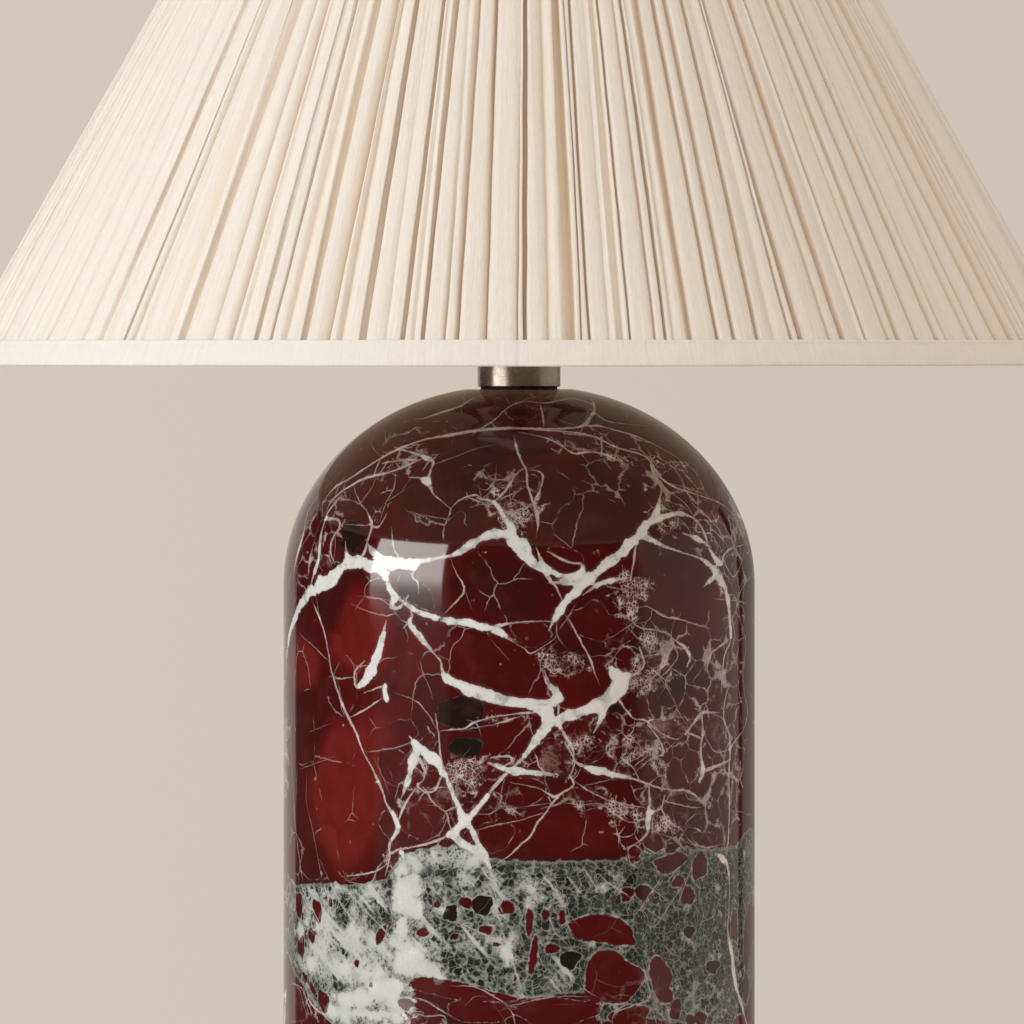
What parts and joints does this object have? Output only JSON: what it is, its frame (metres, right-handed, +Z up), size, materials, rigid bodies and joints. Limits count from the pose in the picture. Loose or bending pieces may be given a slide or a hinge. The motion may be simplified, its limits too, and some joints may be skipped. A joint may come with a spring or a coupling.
{
  "type": "table lamp",
  "caption": "Table lamp with a domed cylinder of veined marble, a metal neck and a pleated empire shade held on a harp by a screw finial.",
  "frame": {"origin": "on the table under the middle of the felt, on the lamp's axis", "axes": "+Z up along the lamp's axis; the front, with the switch knob, is towards -Y and the cord gland towards +Y"},
  "size_m": [0.3999, 0.4, 0.5541],
  "materials": {
    "marble": "polished",
    "felt": "napped",
    "steel": "plain",
    "brass": "turned",
    "nickel": "satin nickel plate",
    "rubber": "matt",
    "nylon": "matt",
    "phenolic": "moulded",
    "insulating_paper": "plain",
    "knob_plastic": "moulded",
    "frosted_glass": "frosted inside",
    "vitrite": "glossy",
    "bulb_metal": "drawn",
    "solder": "domed",
    "coated_wire": "white powder coat",
    "hardback": "translucent, laminated with fabric",
    "pleated_linen": "knife pleated",
    "band_linen": "folded band"
  },
  "bodies": {
    "base": {"base_felt": "felt", "base_plate": "steel", "marble_body": "marble", "cord_gland": "nylon", "threaded_rod": "brass", "bottom_washer": "steel", "bottom_nut": "brass", "neck_gasket": "rubber", "neck_collar": "nickel", "check_ring": "nickel", "harp_saddle": "nickel", "saddle_nut": "brass", "socket_cap": "nickel", "cap_setscrew": "steel", "socket_interior": "phenolic", "terminal_screws": "brass", "centre_contact": "brass", "insulator_sleeve": "insulating_paper", "screw_shell": "brass", "socket_shell": "nickel", "harp": "nickel", "harp_stud": "brass"},
    "sleeve_left": {"harp_sleeve_left": "nickel"},
    "sleeve_right": {"harp_sleeve_right": "nickel"},
    "switch": {"switch_spindle": "steel", "switch_knob": "knob_plastic"},
    "bulb_carrier": {"bulb_contact": "solder"},
    "bulb": {"bulb_glass": "frosted_glass", "bulb_base": "bulb_metal", "bulb_insulator": "vitrite"},
    "shade": {"shade_spider": "coated_wire", "shade_top_ring": "coated_wire", "shade_bottom_ring": "coated_wire", "shade_liner": "hardback", "shade_pleats": "pleated_linen", "shade_top_trim": "band_linen", "shade_bottom_trim": "band_linen"},
    "finial_carrier": {"finial_washer": "nickel"},
    "finial": {"finial": "nickel"}
  },
  "joints": [
    {"name": "shade_turn", "type": "hinge", "parent": "base", "child": "shade", "pos_m": [0, 0, 0.5241], "axis": [0, 0, 1], "continuous": true},
    {"name": "switch_turn", "type": "hinge", "parent": "base", "child": "switch", "pos_m": [0, -0.02, 0.372], "axis": [0, 1, 0], "continuous": true},
    {"name": "sleeve_left_lift", "type": "slide", "parent": "base", "child": "sleeve_left", "axis": [0, 0, 1], "range_m": [0, 0.013]},
    {"name": "sleeve_right_lift", "type": "slide", "parent": "base", "child": "sleeve_right", "axis": [0, 0, 1], "range_m": [0, 0.013]},
    {"name": "bulb_rise", "type": "slide", "parent": "base", "child": "bulb_carrier", "axis": [0, 0, 1], "range_m": [0, 0.02177]},
    {"name": "bulb_unscrew", "type": "hinge", "parent": "bulb_carrier", "child": "bulb", "pos_m": [0, 0, 0.44], "axis": [0, 0, 1], "range_deg": [0, 2160]},
    {"name": "finial_rise", "type": "slide", "parent": "base", "child": "finial_carrier", "axis": [0, 0, 1], "range_m": [0, 0.01223]},
    {"name": "finial_unscrew", "type": "hinge", "parent": "finial_carrier", "child": "finial", "pos_m": [0, 0, 0.54], "axis": [0, 0, 1], "range_deg": [0, 4680]}
  ],
  "couplings": [
    {"joint": "bulb_unscrew", "follows": "bulb_rise", "rad_per_m": 1730.9},
    {"joint": "finial_unscrew", "follows": "finial_rise", "rad_per_m": 6679.3}
  ]
}
